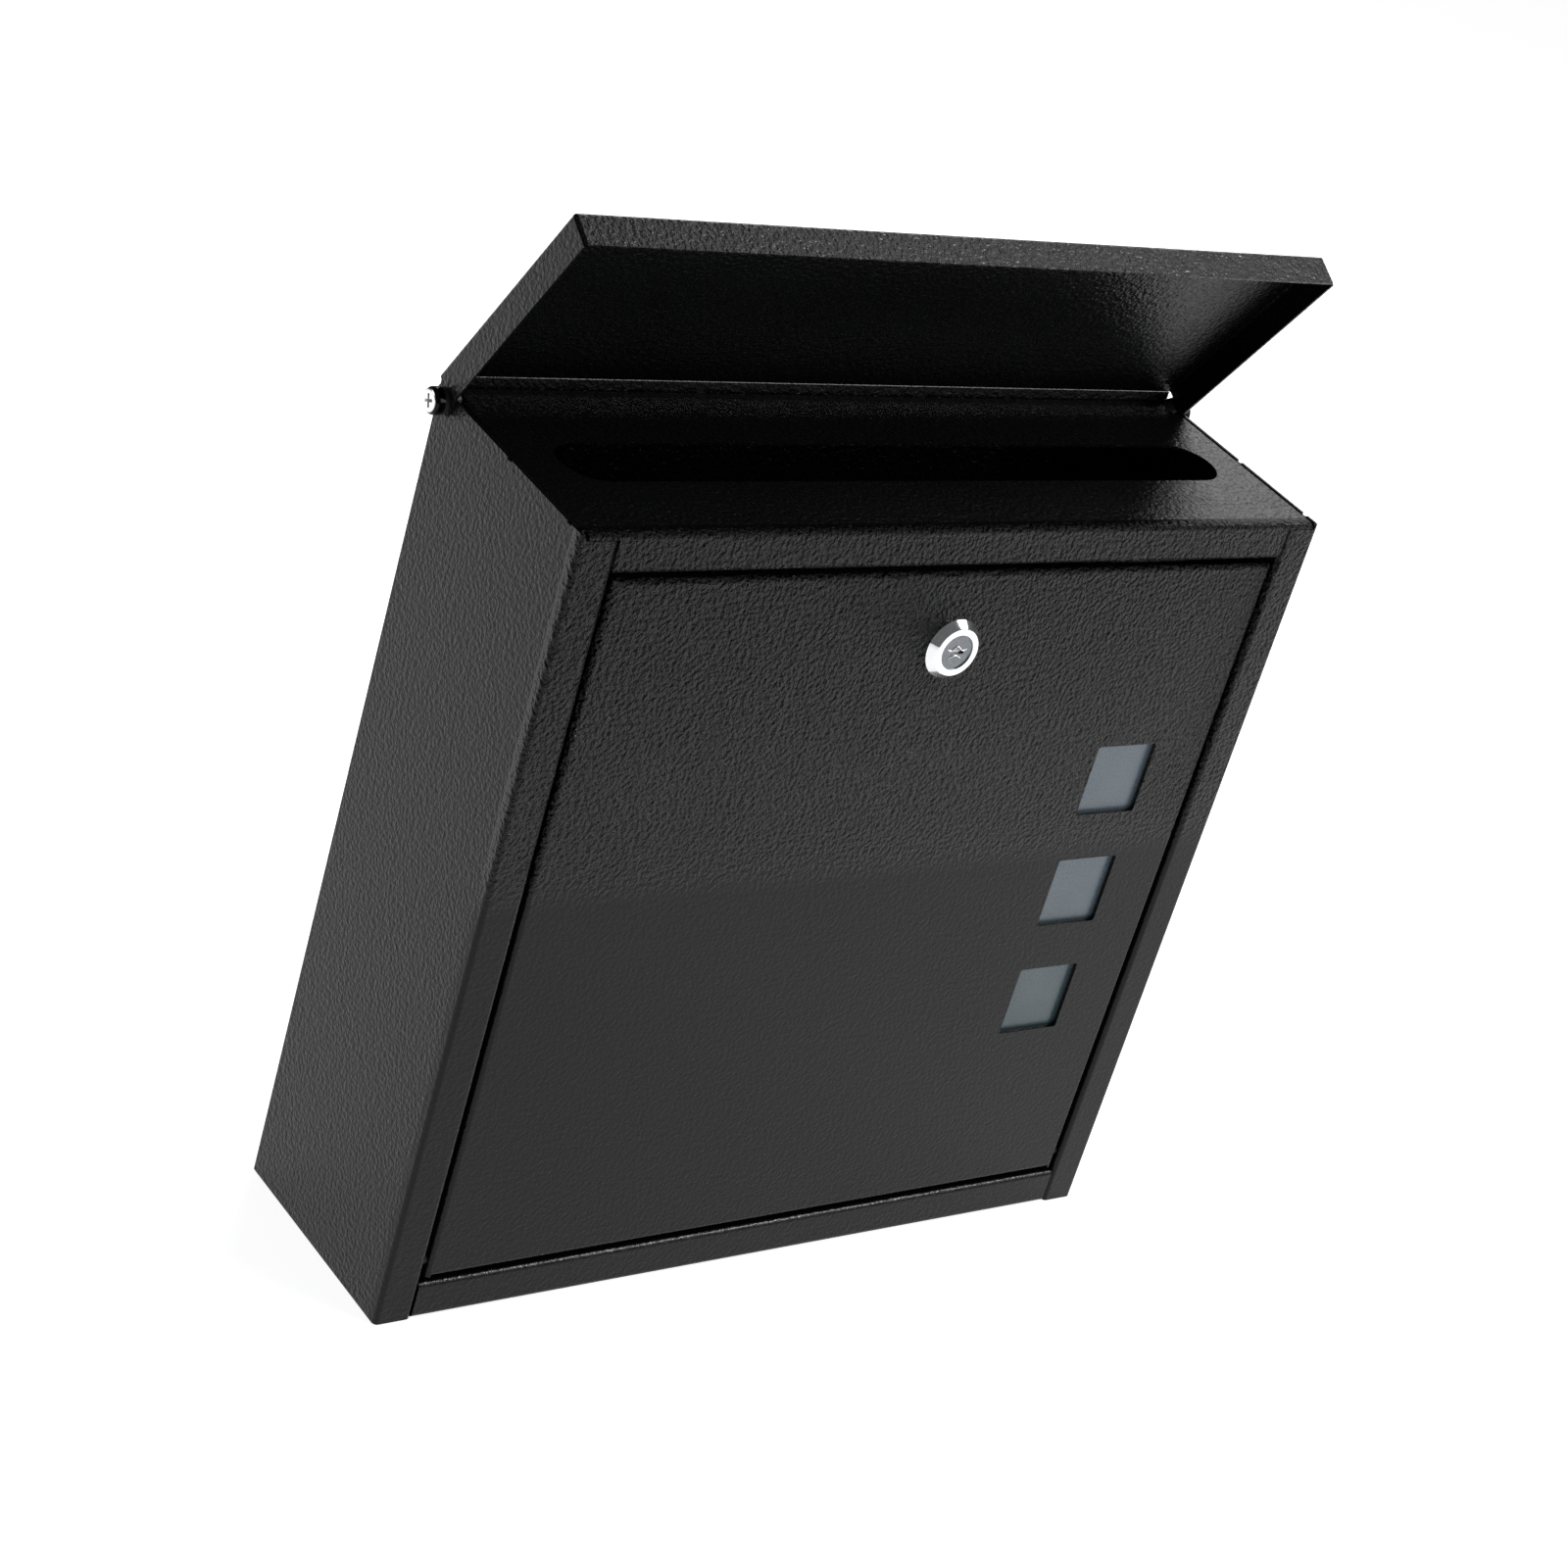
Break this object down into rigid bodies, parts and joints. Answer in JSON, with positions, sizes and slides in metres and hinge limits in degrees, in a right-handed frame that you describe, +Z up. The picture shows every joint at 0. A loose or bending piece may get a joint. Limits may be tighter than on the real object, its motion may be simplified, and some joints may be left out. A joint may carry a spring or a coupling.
{
  "type": "wall mounted mailbox",
  "caption": "Folded steel mailbox for a wall, with a sloping roof and mail slot under a hinged rain lid, and a locking drop-down front door with small square windows.",
  "frame": {"origin": "middle of the four wall holes, on the back face", "axes": "+X to the right as you face the front, +Y into the wall, +Z up"},
  "size_m": [0.3226, 0.0918, 0.3712],
  "materials": {
    "powder_coat": "black powder coat with a fine wrinkled texture",
    "chrome": "bright chrome plate",
    "zinc": "zinc-plated steel",
    "plug_metal": "satin nickel",
    "black_washer": "matt black",
    "nylon": "natural nylon",
    "acrylic": "smoked translucent acrylic",
    "foam_tape": "black foam tape",
    "brass": "plain brass"
  },
  "bodies": {
    "housing": {"back_panel": "powder_coat", "left_side_panel": "powder_coat", "right_side_panel": "powder_coat", "roof_panel": "powder_coat", "bottom_panel": "powder_coat", "lid_hinge_screws": "chrome", "lid_hinge_washers": "black_washer", "lid_hinge_spacers": "nylon", "lid_hinge_nuts": "zinc", "door_hinge_pins": "powder_coat", "door_pin_clips": "zinc"},
    "lid": {"lid": "powder_coat"},
    "door": {"door_panel": "powder_coat", "window_pane": "acrylic", "window_tape": "foam_tape", "lock_housing": "chrome", "lock_washer": "zinc", "lock_nut": "zinc"},
    "lock": {"lock_plug": "plug_metal", "lock_wafers": "brass", "lock_shutter": "zinc", "lock_cam": "zinc", "cam_washer": "zinc", "cam_screw": "zinc"}
  },
  "joints": [
    {"name": "lid_hinge", "type": "hinge", "parent": "housing", "child": "lid", "pos_m": [0, -0.0052, 0.145], "axis": [-1, 0, 0], "range_deg": [-63.4, 2.2]},
    {"name": "door_hinge", "type": "hinge", "parent": "housing", "child": "door", "pos_m": [0, -0.0845, -0.126], "axis": [1, 0, 0], "range_deg": [0, 120]},
    {"name": "lock_turn", "type": "hinge", "parent": "door", "child": "lock", "pos_m": [0.0025, -0.0885, 0.0975], "axis": [0, -1, 0], "range_deg": [0, 90]}
  ]
}
